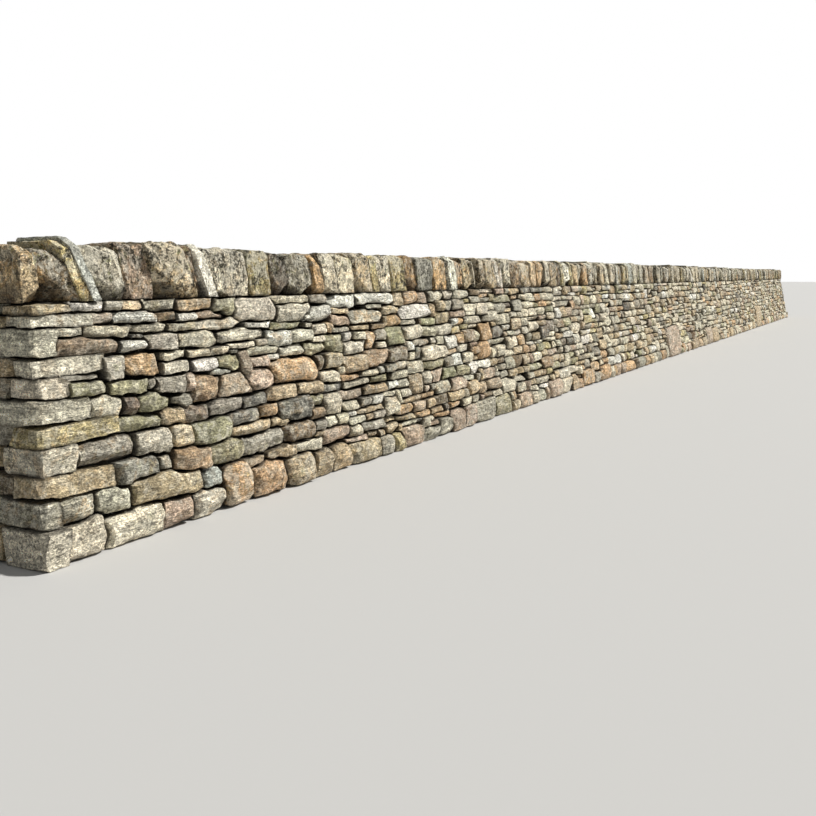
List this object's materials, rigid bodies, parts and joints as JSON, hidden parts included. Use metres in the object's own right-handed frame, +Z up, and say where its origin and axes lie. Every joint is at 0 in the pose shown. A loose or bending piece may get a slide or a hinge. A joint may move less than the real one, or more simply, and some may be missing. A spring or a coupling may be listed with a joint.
{
  "type": "dry stone wall",
  "caption": "Straight run of battered, double-skinned dry stone wall on a footing course, with keyed cheek ends and a raked rough cope of slabs on edge.",
  "frame": {"origin": "under the middle of the wall, on the level plane that the footing course stands on", "axes": "+X along the wall from the near end to the far end, -Y out of the front face, +Z up"},
  "size_m": [31.89, 0.868, 1.684],
  "materials": {
    "wall_stone": "matte",
    "quoin_stone": "matte",
    "footing_stone": "matte",
    "cope_stone": "matte",
    "hearting_stone": "matte"
  },
  "bodies": {
    "root": {"footing_1": "footing_stone", "footing_2": "footing_stone", "footing_3": "footing_stone", "footing_4": "footing_stone", "footing_5": "footing_stone", "footing_6": "footing_stone", "front_face_1": "wall_stone", "front_face_2": "wall_stone", "front_face_3": "wall_stone", "front_face_4": "wall_stone", "front_face_5": "wall_stone", "front_face_6": "wall_stone", "back_face_1": "wall_stone", "back_face_2": "wall_stone", "back_face_3": "wall_stone", "back_face_4": "wall_stone", "back_face_5": "wall_stone", "back_face_6": "wall_stone", "hearting_1": "hearting_stone", "hearting_2": "hearting_stone", "hearting_3": "hearting_stone", "hearting_4": "hearting_stone", "hearting_5": "hearting_stone", "hearting_6": "hearting_stone", "cope_1": "cope_stone", "cope_2": "cope_stone", "cope_3": "cope_stone", "cope_4": "cope_stone", "cope_5": "cope_stone", "cope_6": "cope_stone", "near_end_headers": "quoin_stone", "near_end_stretchers": "quoin_stone", "far_end_headers": "quoin_stone", "far_end_stretchers": "quoin_stone"}
  },
  "joints": []
}
